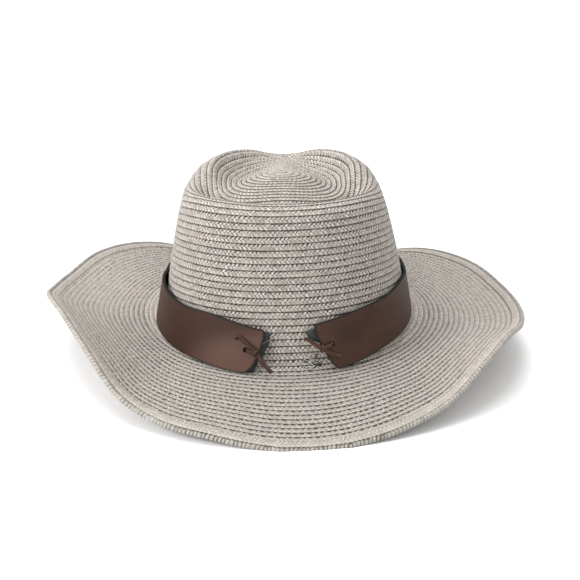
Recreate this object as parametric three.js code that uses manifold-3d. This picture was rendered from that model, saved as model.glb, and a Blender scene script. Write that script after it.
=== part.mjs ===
// Straw hat with a leather strap round the crown. Millimetres, Z up, +Y to the front of the hat,
// the open ends of the strap at the back (-Y). The origin lies on the surface the hat rests on.
import * as THREE from 'three';
import { mergeVertices } from 'three/addons/utils/BufferGeometryUtils.js';
import Module from 'manifold-3d';

// driving dimensions
const crownHalfWidth = 80;      // outside of the crown, half its width above the strap
const crownHalfLength = 90;     // the same, half its length
const crownHeight = 125;        // height of the centre of the dented top
const rowPitch = 4.5;           // width that one sewn row of braid shows
const strawWall = 1.8;          // thickness of the sewn braid
const brimHalfWidth = 166;      // plan of the brim edge
const brimHalfLength = 172;
const brimLift = 52;            // highest point of the brim edge
const rimWidth = 7.5;           // doubled last row round the brim
const rimThick = 3.2;
const joinHeight = 17;          // height of the corner between crown and brim at the back
const joinRise = 5;             // how much higher that corner runs at the sides
const cornerReach = 6;          // size of the rounding in that corner
const topCentreY = 4;           // middle of the rows in the top
const crownLean = 0.028;        // lean of the crown to the left
const wallTilt = 0.16;          // outward lean of the wall behind the strap
const strapWidth = 32;
const strapThick = 2;
const strapHole = 3.4;
const strapFoot = 2.6;          // strap's lower edge above the corner
const strapStandOff = 4.5;      // how far the strap stands off the crown
const strapRaise = 4;           // most that its upper edge rises or falls against the even strap
const thong = 2.2;              // thickness of the leather thongs
const gap = 0.3;                // clearance between separate pieces
const columns = 60;             // steps round the hat
const strapSteps = 44;          // steps along the strap

// tables, shares of the sizes above
// rings of the crown by row of braid: reach to the side and rear and front, squareness of the
// rear and front halves, height at the rear, rear corner, side, front corner and front, and the
// rise of the row to the right
const ringColumns = ['row', 'side', 'rear', 'front', 'squareRear', 'squareFront',
  'zRear', 'zCorner', 'zSide', 'zHump', 'zFront', 'cant'];
const ringTable = [
  [0, 0, 0, 0, 2.0, 2.0, 0.992, 0.992, 0.992, 0.992, 0.992, 0],
  [4, 0.212, 0.196, 0.198, 2.6, 2.0, 0.985, 0.980, 0.967, 0.970, 0.980, 0],
  [8, 0.381, 0.389, 0.389, 3.2, 1.9, 0.974, 0.958, 0.928, 0.930, 0.960, 0],
  [10, 0.469, 0.487, 0.483, 3.5, 1.85, 0.964, 0.946, 0.940, 0.942, 0.950, 0],
  [12, 0.546, 0.581, 0.578, 3.6, 1.75, 0.949, 0.935, 0.972, 0.966, 0.950, -0.01],
  [14, 0.631, 0.656, 0.683, 3.0, 1.75, 0.904, 0.892, 1.010, 1.003, 0.948, -0.018],
  [16, 0.738, 0.708, 0.783, 2.6, 1.8, 0.907, 0.927, 0.990, 0.964, 0.936, -0.015],
  [18, 0.819, 0.769, 0.867, 2.5, 1.95, 0.969, 0.972, 0.925, 0.890, 0.889, -0.01],
  [19, 0.848, 0.811, 0.894, 2.5, 2.0, 0.967, 0.968, 0.888, 0.869, 0.861, -0.005],
  [21, 0.878, 0.892, 0.933, 2.55, 2.1, 0.932, 0.924, 0.822, 0.802, 0.800, -0.01],
  [22, 0.892, 0.904, 0.950, 2.55, 2.15, 0.8975, 0.889, 0.792, 0.770, 0.768, -0.015],
  [30, 0.981, 0.973, 1.017, 2.4, 2.3, 0.6205, 0.6125, 0.535, 0.509, 0.509, -0.018],
  [44, 1.105, 1.098, 1.067, 2.3, 2.3, 0.124, 0.117, 0.040, 0.040, 0.040, -0.02],
];
// brim edge by degrees from the back towards the right: height, slope where it leaves the crown,
// slope at the edge
const edgeColumns = ['degrees', 'lift', 'slopeIn', 'slopeOut'];
const edgeTable = [
  [-160, 0.15, -0.05, 0.15], [-140, 0.55, 0.00, 0.45], [-120, 0.70, 0.02, 0.55],
  [-105, 0.65, 0.02, 0.52], [-90, 0.75, 0.02, 0.58], [-75, 0.98, 0.00, 0.75],
  [-60, 1.00, -0.05, 0.86], [-50, 0.74, -0.08, 0.62], [-40, 0.33, -0.10, 0.20],
  [-30, 0.14, -0.10, -0.10], [-17, 0.065, -0.10, -0.18], [-2, -0.034, -0.10, -0.20],
  [11, -0.034, -0.10, -0.20], [30, 0.125, -0.10, -0.15], [40, 0.30, -0.10, 0.15],
  [50, 0.57, -0.08, 0.45], [60, 0.71, -0.05, 0.60], [75, 0.58, 0.00, 0.50],
  [90, 0.48, 0.02, 0.40], [105, 0.46, 0.02, 0.38], [120, 0.52, 0.02, 0.41],
  [140, 0.45, 0.00, 0.33], [160, 0.13, -0.05, 0.10], [172, -0.03, -0.10, -0.15],
  [188, -0.03, -0.10, -0.15],
];
// strap by degrees from the back: lower edge above the corner, stand-off of the lower and the upper
// edge, and upper edge above the even strap
const strapColumns = ['degrees', 'foot', 'footOff', 'headOff', 'raise'];
const strapTable = [
  [-110, 0.5, 0.66, 0.3, -1.3], [-92, 0.4, 0.85, 0.3, -1.1], [-78, 0.38, 0.91, 0.6, -0.45],
  [-60, 0.35, 0.85, 0.65, -0.45], [-45, 0.35, 0.83, 0.7, -0.3], [-30, 0.35, 1.05, 0.78, 0.15],
  [-20, 0.1, 1.25, 0.8, -0.2], [-10, 0.1, 1.3, 0.8, -1.0], [12, 0.3, 0.9, 0.7, -0.3],
  [20, 0.5, 0.8, 0.7, 0.2], [30, 1.4, 0.5, 0.6, 0.25], [45, 2.4, 0.33, 0.55, -0.1],
  [60, 2.6, 0.3, 0.45, 0], [75, 2.2, 0.25, 0.4, -0.5], [90, 1.6, 0.3, 0.32, -1.0],
  [110, 1.2, 0.36, 0.32, -1.0], [140, 1.1, 0.44, 0.36, -1.1], [180, 1.0, 0.44, 0.42, -1.1],
  [205, 1.0, 0.5, 0.44, -1.1], [220, 0.8, 0.56, 0.42, -1.2],
];
// ends of the strap, degrees: from the back to the upper corner, how much further back the lower
// corner lies, and what the rounding takes off each corner
const strapEnds = {
  left: { end: 7.6, slant: 5.5, upperRound: 1.4, lowerRound: 2.5 },
  right: { end: 11.0, slant: 7.2, upperRound: 1.2, lowerRound: 0.8 },
};
// each thong's paths by degrees from the back, share across the strap, and height over the strap's
// outer face in shares of its own thickness: out of the hole to the knot, and the two tails
const thongPaths = {
  left: [
    [[-14.4, 0.493, -1.0], [-14.4, 0.493, 0.73], [-12.4, 0.482, 1.32], [-10.3, 0.465, 1.36]],
    [[-10.3, 0.465, 1.36], [-13.0, 0.614, 1.1], [-15.4, 0.694, 0.82], [-17.6, 0.73, 0.77]],
    [[-10.3, 0.465, 1.36], [-8.7, 0.343, 1.2], [-7.0, 0.193, 1.1], [-5.0, 0.067, 1.36]],
  ],
  right: [
    [[17.1, 0.52, -1.0], [17.1, 0.52, 0.73], [14.9, 0.506, 1.32], [12.9, 0.487, 1.36]],
    [[12.9, 0.487, 1.36], [10.8, 0.591, 1.1], [8.8, 0.692, 0.73], [6.9, 0.77, 0.5]],
    [[12.9, 0.487, 1.36], [15.0, 0.402, 1.15], [17.6, 0.311, 0.8], [19.9, 0.258, 0.77]],
  ],
};
// rows of braid at which the crown is cut into facets, and shares of the brim's width
const crownCuts = [2, 4, 6, 8, 10, 11.5, 13, 14.2, 15.3, 16.4, 17.4, 18.4, 19.4, 20.6, 22, 25, 29, 33, 37];
const brimCuts = [0.16, 0.3, 0.44, 0.58, 0.71, 0.82, 0.91];

// curves through the tables
const column = (table, names, name) => table.map((line) => line[names.indexOf(name)]);
const hermite = (p, q, mp, mq, t) => (2 * t ** 3 - 3 * t * t + 1) * p + (t ** 3 - 2 * t * t + t) * mp
  + (3 * t * t - 2 * t ** 3) * q + (t ** 3 - t * t) * mq;

// a curve that doesn't overshoot its points
function smoothCurve(xs, ys) {
  const n = xs.length;
  const rise = xs.slice(1).map((x, i) => (ys[i + 1] - ys[i]) / (x - xs[i]));
  const slope = ys.map((_, i) => {
    if (i === 0) return rise[0];
    if (i === n - 1) return rise[n - 2];
    return rise[i - 1] * rise[i] <= 0 ? 0 : 2 * rise[i - 1] * rise[i] / (rise[i - 1] + rise[i]);
  });
  return (x) => {
    let i = 0;
    while (i < n - 2 && x > xs[i + 1]) i += 1;
    const step = xs[i + 1] - xs[i];
    const t = Math.min(1, Math.max(0, (x - xs[i]) / step));
    return hermite(ys[i], ys[i + 1], slope[i] * step, slope[i + 1] * step, t);
  };
}

// a closed curve round the hat, by degrees
function roundCurve(degrees, ys) {
  const n = degrees.length;
  const at = (i) => degrees[((i % n) + n) % n] + 360 * Math.floor(i / n);
  const value = (i) => ys[((i % n) + n) % n];
  const slopeAt = (i) => {
    const [a, b] = [at(i) - at(i - 1), at(i + 1) - at(i)];
    return ((value(i) - value(i - 1)) / a * b + (value(i + 1) - value(i)) / b * a) / (a + b);
  };
  return (angle) => {
    const x = degrees[0] + ((((angle - degrees[0]) % 360) + 360) % 360);
    let i = 0;
    while (i < n - 1 && x > degrees[i + 1]) i += 1;
    const step = at(i + 1) - at(i);
    return hermite(value(i), value(i + 1), slopeAt(i) * step, slopeAt(i + 1) * step, (x - at(i)) / step);
  };
}

const ring = Object.fromEntries(ringColumns.slice(1).map((name) => [
  name, smoothCurve(column(ringTable, ringColumns, 'row'), column(ringTable, ringColumns, name))]));
const edge = Object.fromEntries(edgeColumns.slice(1).map((name) => [
  name, roundCurve(column(edgeTable, edgeColumns, 'degrees'), column(edgeTable, edgeColumns, name))]));
const strap = Object.fromEntries(strapColumns.slice(1).map((name) => [
  name, roundCurve(column(strapTable, strapColumns, 'degrees'), column(strapTable, strapColumns, name))]));

const rad = (degrees) => degrees * Math.PI / 180;
const vec = (x, y, z) => new THREE.Vector3(x, y, z);
const clamp = (x) => Math.min(1, Math.max(0, x));

// the hat's outer surface
const compass = [-156, -90, -42, 0, 42, 90, 153, 180];
function crownPoint(angle, row) {
  const s = Math.sin(rad(angle));
  const c = Math.cos(rad(angle));
  const side = crownHalfWidth * ring.side(row);
  const along = crownHalfLength * (c > 0 ? ring.rear(row) : ring.front(row));
  const square = c > 0 ? ring.squareRear(row) : ring.squareFront(row);
  const reach = row <= 0 ? 0
    : (Math.abs(s / side) ** square + Math.abs(c / along) ** square) ** (-1 / square);
  const heights = ['zHump', 'zSide', 'zCorner', 'zRear', 'zCorner', 'zSide', 'zHump', 'zFront']
    .map((name) => ring[name](row));
  const x = reach * s;
  const z = crownHeight * roundCurve(compass, heights)(angle) - ring.cant(row) * x;
  return vec(x - crownLean * (z - joinHeight), topCentreY - reach * c, z + rimThick / 2);
}

const joinZ = (angle) => joinHeight + rimThick / 2 + joinRise * Math.sin(rad(angle)) ** 2;
// the row at which the crown reaches the corner
const joinRows = new Map();
function joinRow(angle) {
  if (!joinRows.has(angle)) {
    let [low, high] = [30, 44];
    for (let i = 0; i < 30; i += 1) {
      const middle = (low + high) / 2;
      if (crownPoint(angle, middle).z > joinZ(angle)) low = middle;
      else high = middle;
    }
    joinRows.set(angle, (low + high) / 2);
  }
  return joinRows.get(angle);
}

function edgePoint(angle) {
  return vec(brimHalfWidth * Math.sin(rad(angle)), -brimHalfLength * Math.cos(rad(angle)),
    brimLift * edge.lift(angle) + rimThick);
}
function brimPoint(angle, share) {
  const join = crownPoint(angle, joinRow(angle));
  const end = edgePoint(angle);
  const width = Math.hypot(end.x - join.x, end.y - join.y);
  const z = hermite(join.z, end.z, edge.slopeIn(angle) * width, edge.slopeOut(angle) * width, share);
  return vec(join.x + (end.x - join.x) * share, join.y + (end.y - join.y) * share, z);
}
const brimWidth = (angle) => crownPoint(angle, joinRow(angle)).distanceTo(edgePoint(angle));

// the corner between crown and brim, rounded: share runs from the crown (0) to the brim (1)
function cornerPoint(angle, share) {
  const join = joinRow(angle);
  const above = crownPoint(angle, join - cornerReach / rowPitch);
  const middle = crownPoint(angle, join);
  const out = brimPoint(angle, cornerReach / brimWidth(angle));
  return above.multiplyScalar((1 - share) ** 2).addScaledVector(middle, 2 * share * (1 - share))
    .addScaledVector(out, share ** 2);
}

// cuts from the top's centre to the rim, each a function of the angle
const rimStart = (angle) => 1 - (rimWidth + gap) / brimWidth(angle);
const bodyCuts = [
  ...crownCuts.map((row) => (angle) => crownPoint(angle, row)),
  ...[0, 0.33, 0.67, 1].map((share) => (angle) => cornerPoint(angle, share)),
  ...brimCuts.map((share) => (angle) => {
    const first = cornerReach / brimWidth(angle);
    return brimPoint(angle, first + (rimStart(angle) - first) * share);
  }),
  (angle) => brimPoint(angle, rimStart(angle)),
];

const roundAngles = Array.from({ length: columns }, (_, i) => -180 + 360 * i / columns);

// closed bodies from grids
function body(points, faces) {
  const geometry = new THREE.BufferGeometry();
  const flat = points.flatMap((p) => [p.x, p.y, p.z]);
  geometry.setAttribute('position', new THREE.Float32BufferAttribute(flat, 3));
  geometry.setIndex(faces.flat());
  return geometry;
}

// two triangles across a four-sided face
const quad = (a, b, c, d) => [[a, b, c], [a, c, d]];

// a wall between an upper and a lower grid, both closed round the hat and pinched to a point at
// the centre
function domeShell(cuts, thick) {
  const upper = cuts.map((cut) => roundAngles.map((angle) => cut(angle)));
  const centre = crownPoint(0, 0);
  const grid = [roundAngles.map(() => centre.clone()), ...upper];
  const normal = (j, i) => {
    const before = grid[Math.max(0, j - 1)][i];
    const after = grid[Math.min(grid.length - 1, j + 1)][i];
    const left = grid[j][(i + columns - 1) % columns];
    const right = grid[j][(i + 1) % columns];
    return after.clone().sub(before).cross(right.clone().sub(left)).normalize();
  };
  const lower = upper.map((line, j) => line.map((p, i) => {
    const under = p.clone().addScaledVector(normal(j + 1, i), -thick);
    return under.setZ(Math.max(gap, under.z));
  }));
  const points = [centre, centre.clone().setZ(centre.z - thick), ...upper.flat(), ...lower.flat()];
  const top = (j, i) => 2 + j * columns + (i % columns);
  const low = (j, i) => 2 + (upper.length + j) * columns + (i % columns);
  const last = upper.length - 1;
  const faces = [];
  for (let i = 0; i < columns; i += 1) {
    faces.push([0, top(0, i), top(0, i + 1)], [1, low(0, i + 1), low(0, i)]);
    for (let j = 0; j < last; j += 1) {
      faces.push(...quad(top(j, i), top(j + 1, i), top(j + 1, i + 1), top(j, i + 1)));
      faces.push(...quad(low(j, i), low(j, i + 1), low(j + 1, i + 1), low(j + 1, i)));
    }
    faces.push(...quad(top(last, i), low(last, i), low(last, i + 1), top(last, i + 1)));
  }
  return body(points, faces);
}

// a bar whose sections are closed outlines of the same number of points; a closed bar has no ends
function bar(sections, closed) {
  const count = sections[0].length;
  const points = sections.flat();
  const at = (j, i) => (j % sections.length) * count + (i % count);
  const faces = [];
  const spans = closed ? sections.length : sections.length - 1;
  for (let j = 0; j < spans; j += 1) {
    for (let i = 0; i < count; i += 1) {
      faces.push(...quad(at(j, i), at(j + 1, i), at(j + 1, i + 1), at(j, i + 1)));
    }
  }
  if (!closed) {
    for (let i = 1; i < count - 1; i += 1) {
      faces.push([at(0, 0), at(0, i), at(0, i + 1)]);
      faces.push([at(sections.length - 1, 0), at(sections.length - 1, i + 1), at(sections.length - 1, i)]);
    }
  }
  return body(points, faces);
}

// rim: the doubled last row, flat underneath where the hat rests
function rimSection(angle) {
  const width = brimWidth(angle);
  const inner = brimPoint(angle, 1 - rimWidth / width);
  const outer = brimPoint(angle, 1);
  const out = outer.clone().sub(inner).normalize();
  const round = brimPoint(angle + 1, 1).sub(brimPoint(angle - 1, 1)).normalize();
  const up = out.clone().cross(round).normalize();
  const shape = [[0, -0.45], [0, -strawWall / rimThick], [0.12, -0.9], [0.85, -1], [1, -0.8], [1, -0.2],
    [0.85, 0], [0.12, 0]];
  return shape.map(([across, deep]) => {
    const p = inner.clone().addScaledVector(out, across * rimWidth).addScaledVector(up, deep * rimThick);
    return p.setZ(Math.max(0, p.z));
  });
}

// strap
// point on the strap: share across from its lower edge, depth outwards from its inner face
function strapPoint(angle, share, depth) {
  const join = joinRow(angle);
  const footHeight = strapFoot * strap.foot(angle);
  const headHeight = footHeight + strapWidth + strapRaise * strap.raise(angle);
  const foot = crownPoint(angle, join - footHeight / rowPitch);
  const head = crownPoint(angle, join - headHeight / rowPitch);
  const middle = crownPoint(angle, join - (footHeight + headHeight) / 2 / rowPitch);
  const off = strapStandOff * (strap.footOff(angle) * (1 - share) + strap.headOff(angle) * share);
  const out = off + depth;
  const outwards = vec(Math.sin(rad(angle)) * out, -Math.cos(rad(angle)) * out,
    wallTilt * (off * share + depth));
  const spine = foot.clone().multiplyScalar(1 - share).addScaledVector(head, share);
  const bow = middle.sub(foot.clone().add(head).multiplyScalar(0.5)).multiplyScalar(4 * share * (1 - share));
  return spine.add(bow).add(outwards);
}
// degrees from the back to the end of the strap at a share of its width
function endAngle(side, share) {
  const arc = (x) => 1 - Math.sqrt(1 - clamp(x) ** 2);
  const { end, slant, upperRound, lowerRound } = strapEnds[side];
  return end + slant * (1 - share) ** 1.6 + upperRound * arc((share - 0.88) / 0.12)
    + lowerRound * arc((0.25 - share) / 0.25);
}
function strapBody() {
  const shares = [0, 0.04, 0.12, 0.25, 0.5, 0.88, 0.96, 1];
  const sections = [];
  for (let j = 0; j <= strapSteps; j += 1) {
    const along = j / strapSteps;
    const section = (depth) => shares.map((share) => {
      const first = endAngle('right', share);
      const last = 360 - endAngle('left', share);
      return strapPoint(first + (last - first) * along, share, depth);
    });
    sections.push([...section(strapThick), ...section(0).reverse()]);
  }
  return bar(sections, false);
}

// thongs, and the strap's holes
const wasm = await Module();
wasm.setup();
function solid(geometry) {
  const plain = new THREE.BufferGeometry();
  plain.setAttribute('position', geometry.getAttribute('position').clone());
  if (geometry.index) plain.setIndex(geometry.index.clone());
  const merged = mergeVertices(plain, 1e-4);
  const mesh = new wasm.Mesh({
    numProp: 3,
    vertProperties: new Float32Array(merged.getAttribute('position').array),
    triVerts: new Uint32Array(merged.index.array),
  });
  return new wasm.Manifold(mesh);
}
function fromSolid(manifold) {
  const mesh = manifold.getMesh();
  const geometry = new THREE.BufferGeometry();
  geometry.setAttribute('position', new THREE.BufferAttribute(new Float32Array(mesh.vertProperties), 3));
  geometry.setIndex(Array.from(mesh.triVerts));
  return geometry;
}

function strand(points, thick, steps) {
  const path = new THREE.CatmullRomCurve3(points);
  const sides = 6;
  const frames = path.computeFrenetFrames(steps, false);
  const sections = [];
  for (let j = 0; j <= steps; j += 1) {
    const p = path.getPointAt(j / steps);
    sections.push(Array.from({ length: sides }, (_, i) => {
      const turn = -2 * Math.PI * i / sides;
      return p.clone().addScaledVector(frames.normals[j], Math.cos(turn) * thick / 2)
        .addScaledVector(frames.binormals[j], Math.sin(turn) * thick / 2);
    }));
  }
  return bar(sections, false);
}

function tie(side) {
  const place = ([angle, share, lift]) => strapPoint(angle, share, strapThick + lift * thong);
  const parts = thongPaths[side].map((path) => solid(strand(path.map(place), thong, 7)));
  const at = place(thongPaths[side][0].at(-1));
  const knot = new THREE.IcosahedronGeometry(thong, 1).translate(at.x, at.y, at.z);
  return fromSolid(wasm.Manifold.union([...parts, solid(knot)]));
}

function punchedStrap() {
  let manifold = solid(strapBody());
  for (const side of ['left', 'right']) {
    const [angle, share] = thongPaths[side][0][0];
    const inner = strapPoint(angle, share, -thong / 2);
    const outer = strapPoint(angle, share, strapThick + thong / 2);
    const drill = new THREE.CylinderGeometry(strapHole / 2, strapHole / 2, inner.distanceTo(outer), 14);
    const along = outer.clone().sub(inner).normalize();
    drill.applyQuaternion(new THREE.Quaternion().setFromUnitVectors(vec(0, 1, 0), along));
    const middle = inner.add(outer).multiplyScalar(0.5);
    drill.translate(middle.x, middle.y, middle.z);
    manifold = manifold.subtract(solid(drill));
  }
  return fromSolid(manifold);
}

// the object
const straw = { color: 0xb9aea4, roughness: 0.85 };
const leather = { color: 0x4a322a, roughness: 0.6 };
const group = new THREE.Group();
function add(name, geometry, look) {
  const mesh = new THREE.Mesh(geometry, new THREE.MeshStandardMaterial(look));
  mesh.name = name;
  group.add(mesh);
}
add('straw_body', domeShell(bodyCuts, strawWall), straw);
add('rim_braid', bar(roundAngles.map(rimSection), true), straw);
add('hat_band', punchedStrap(), leather);
add('band_tie_left', tie('left'), leather);
add('band_tie_right', tie('right'), leather);

export default group;
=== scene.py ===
# Straw hat with a leather strap round the crown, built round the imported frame.
# Metres, Z up, the open ends of the strap at the back (-Y), which the camera looks at.
import math

import bmesh
import bpy
import numpy as np
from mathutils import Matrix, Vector


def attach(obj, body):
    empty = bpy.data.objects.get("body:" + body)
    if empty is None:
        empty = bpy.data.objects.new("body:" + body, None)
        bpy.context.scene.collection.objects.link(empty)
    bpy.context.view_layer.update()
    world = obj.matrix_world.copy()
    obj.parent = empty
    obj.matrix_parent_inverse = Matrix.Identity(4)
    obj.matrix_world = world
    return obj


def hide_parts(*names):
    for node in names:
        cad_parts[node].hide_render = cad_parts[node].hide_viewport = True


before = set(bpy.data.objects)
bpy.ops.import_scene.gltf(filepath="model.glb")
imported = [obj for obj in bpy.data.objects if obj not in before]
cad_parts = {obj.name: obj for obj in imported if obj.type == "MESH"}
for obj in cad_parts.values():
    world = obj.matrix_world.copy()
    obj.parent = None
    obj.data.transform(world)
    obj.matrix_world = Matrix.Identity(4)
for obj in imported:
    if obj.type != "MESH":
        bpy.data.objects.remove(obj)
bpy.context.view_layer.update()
print("frame loaded")

# the hat's form, as the solids have it
hat = {
    "crownHalfWidth": 0.080,
    "crownHalfLength": 0.090,
    "crownHeight": 0.125,
    "rowPitch": 0.0045,
    "strawWall": 0.0018,
    "brimHalfWidth": 0.166,
    "brimHalfLength": 0.172,
    "brimLift": 0.052,
    "rimWidth": 0.0075,
    "rimThick": 0.0032,
    "joinHeight": 0.017,       # corner between crown and brim at the back
    "joinRise": 0.005,         # how much higher it runs at the sides
    "cornerReach": 0.006,
    "topCentreY": 0.004,
    "crownLean": 0.028,
    "wallTilt": 0.16,
    "gap": 0.0003,
    "rimRow": 61,              # rows of braid from the top's centre to the rim
}

# rings of the crown by row: reach to side, rear and front, squareness, and heights round the ring
ringNames = ["row", "side", "rear", "front", "squareRear", "squareFront",
             "zRear", "zCorner", "zSide", "zHump", "zFront", "cant"]
ringTable = [
    [0, 0, 0, 0, 2.0, 2.0, 0.992, 0.992, 0.992, 0.992, 0.992, 0],
    [4, 0.212, 0.196, 0.198, 2.6, 2.0, 0.985, 0.980, 0.967, 0.970, 0.980, 0],
    [8, 0.381, 0.389, 0.389, 3.2, 1.9, 0.974, 0.958, 0.928, 0.930, 0.960, 0],
    [10, 0.469, 0.487, 0.483, 3.5, 1.85, 0.964, 0.946, 0.940, 0.942, 0.950, 0],
    [12, 0.546, 0.581, 0.578, 3.6, 1.75, 0.949, 0.935, 0.972, 0.966, 0.950, -0.01],
    [14, 0.631, 0.656, 0.683, 3.0, 1.75, 0.904, 0.892, 1.010, 1.003, 0.948, -0.018],
    [16, 0.738, 0.708, 0.783, 2.6, 1.8, 0.907, 0.927, 0.990, 0.964, 0.936, -0.015],
    [18, 0.819, 0.769, 0.867, 2.5, 1.95, 0.969, 0.972, 0.925, 0.890, 0.889, -0.01],
    [19, 0.848, 0.811, 0.894, 2.5, 2.0, 0.967, 0.968, 0.888, 0.869, 0.861, -0.005],
    [21, 0.878, 0.892, 0.933, 2.55, 2.1, 0.932, 0.924, 0.822, 0.802, 0.800, -0.01],
    [22, 0.892, 0.904, 0.950, 2.55, 2.15, 0.8975, 0.889, 0.792, 0.770, 0.768, -0.015],
    [30, 0.981, 0.973, 1.017, 2.4, 2.3, 0.6205, 0.6125, 0.535, 0.509, 0.509, -0.018],
    [44, 1.105, 1.098, 1.067, 2.3, 2.3, 0.124, 0.117, 0.040, 0.040, 0.040, -0.02],
]
# brim edge by degrees from the back towards the right
edgeNames = ["degrees", "lift", "slopeIn", "slopeOut"]
edgeTable = [
    [-160, 0.15, -0.05, 0.15], [-140, 0.55, 0.00, 0.45], [-120, 0.70, 0.02, 0.55],
    [-105, 0.65, 0.02, 0.52], [-90, 0.75, 0.02, 0.58], [-75, 0.98, 0.00, 0.75],
    [-60, 1.00, -0.05, 0.86], [-50, 0.74, -0.08, 0.62], [-40, 0.33, -0.10, 0.20],
    [-30, 0.14, -0.10, -0.10], [-17, 0.065, -0.10, -0.18], [-2, -0.034, -0.10, -0.20],
    [11, -0.034, -0.10, -0.20], [30, 0.125, -0.10, -0.15], [40, 0.30, -0.10, 0.15],
    [50, 0.57, -0.08, 0.45], [60, 0.71, -0.05, 0.60], [75, 0.58, 0.00, 0.50],
    [90, 0.48, 0.02, 0.40], [105, 0.46, 0.02, 0.38], [120, 0.52, 0.02, 0.41],
    [140, 0.45, 0.00, 0.33], [160, 0.13, -0.05, 0.10], [172, -0.03, -0.10, -0.15],
    [188, -0.03, -0.10, -0.15],
]


def hermite(p, q, slopeP, slopeQ, t):
    return ((2 * t - 3) * t * t + 1) * p + ((t - 2) * t + 1) * t * slopeP \
        + (3 - 2 * t) * t * t * q + (t - 1) * t * t * slopeQ


def smoothCurve(xs, ys):
    # a curve that doesn't overshoot its points
    xs, ys = np.array(xs, float), np.array(ys, float)
    rise = np.diff(ys) / np.diff(xs)
    slope = np.empty_like(ys)
    slope[0], slope[-1] = rise[0], rise[-1]
    before, after = rise[:-1], rise[1:]
    sameWay = before * after > 0
    slope[1:-1] = np.where(sameWay, 2 * before * after / np.where(sameWay, before + after, 1), 0)

    def curve(x):
        i = np.clip(np.searchsorted(xs, x) - 1, 0, len(xs) - 2)
        step = xs[i + 1] - xs[i]
        t = np.clip((x - xs[i]) / step, 0, 1)
        return hermite(ys[i], ys[i + 1], slope[i] * step, slope[i + 1] * step, t)
    return curve


def roundShares(degrees):
    # closed curve round the hat: how much each of its points counts at an angle
    count = len(degrees)
    places = np.array([degrees[-1] - 360, *degrees, degrees[0] + 360], float)
    slopes = np.zeros((count, count))
    for i in range(count):
        before, after = places[i + 1] - places[i], places[i + 2] - places[i + 1]
        slopes[i, i - 1] -= after / before / (before + after)
        slopes[i, i] += (after / before - before / after) / (before + after)
        slopes[i, (i + 1) % count] += before / after / (before + after)
    points = np.eye(count)

    def shares(angle):
        turned = places[1] + np.mod(np.asarray(angle, float) - places[1], 360)
        i = np.clip(np.searchsorted(places[1:-1], turned, side="right") - 1, 0, count - 1)
        j = (i + 1) % count
        step = (places[i + 2] - places[i + 1])[..., None]
        t = (turned - places[i + 1])[..., None] / step
        return hermite(points[i], points[j], slopes[i] * step, slopes[j] * step, t)
    return shares


def roundCurve(degrees, ys):
    shares, values = roundShares(degrees), np.array(ys, float)
    return lambda angle: shares(angle) @ values


def columnCurves(names, table, makeCurve):
    columns = list(zip(*table))
    return {name: makeCurve(columns[0], columns[i]) for i, name in enumerate(names) if i > 0}


ring = columnCurves(ringNames, ringTable, smoothCurve)
edge = columnCurves(edgeNames, edgeTable, roundCurve)
compassShares = roundShares([-156, -90, -42, 0, 42, 90, 153, 180])
compassNames = ["zHump", "zSide", "zCorner", "zRear", "zCorner", "zSide", "zHump", "zFront"]


def crownPoint(angle, row):
    angle, row = np.broadcast_arrays(np.asarray(angle, float), np.asarray(row, float))
    s, c = np.sin(np.radians(angle)), np.cos(np.radians(angle))
    least = 1e-9
    side = np.maximum(least, hat["crownHalfWidth"] * ring["side"](row))
    along = np.where(c > 0, ring["rear"](row), ring["front"](row))
    along = np.maximum(least, hat["crownHalfLength"] * along)
    square = np.where(c > 0, ring["squareRear"](row), ring["squareFront"](row))
    reach = (abs(s / side) ** square + abs(c / along) ** square) ** (-1 / square)
    shares = compassShares(angle)
    height = sum(shares[..., i] * ring[name](row) for i, name in enumerate(compassNames))
    x = reach * s
    z = hat["crownHeight"] * height - ring["cant"](row) * x
    lean = hat["crownLean"] * (z - hat["joinHeight"])
    return np.stack([x - lean, hat["topCentreY"] - reach * c, z + hat["rimThick"] / 2], -1)


def findJoinRows(angles):
    # the row at which the crown reaches the corner, by halving
    height = hat["joinHeight"] + hat["rimThick"] / 2 + hat["joinRise"] * np.sin(np.radians(angles)) ** 2
    low, high = np.full(len(angles), 30.0), np.full(len(angles), 44.0)
    for _ in range(30):
        middle = (low + high) / 2
        above = crownPoint(angles, middle)[..., 2] > height
        low, high = np.where(above, middle, low), np.where(above, high, middle)
    return (low + high) / 2


joinAngles = np.arange(-180, 180.5, 0.5)
joinRows = findJoinRows(joinAngles)


def joinRow(angle):
    return np.interp(np.mod(np.asarray(angle, float) + 180, 360) - 180, joinAngles, joinRows)


def edgePoint(angle):
    turn = np.radians(angle)
    return np.stack([hat["brimHalfWidth"] * np.sin(turn), -hat["brimHalfLength"] * np.cos(turn),
                     hat["brimLift"] * edge["lift"](angle) + hat["rimThick"]], -1)


def brimPoint(angle, share):
    angle, share = np.asarray(angle, float), np.asarray(share, float)
    join, end = crownPoint(angle, joinRow(angle)), edgePoint(angle)
    width = np.hypot(end[..., 0] - join[..., 0], end[..., 1] - join[..., 1])
    slopeIn, slopeOut = edge["slopeIn"](angle) * width, edge["slopeOut"](angle) * width
    z = hermite(join[..., 2], end[..., 2], slopeIn, slopeOut, share)
    flat = join + (end - join) * share[..., None]
    return np.stack([flat[..., 0], flat[..., 1], np.broadcast_to(z, flat[..., 0].shape)], -1)


def brimWidth(angle):
    return np.linalg.norm(crownPoint(angle, joinRow(angle)) - edgePoint(angle), axis=-1)


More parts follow.
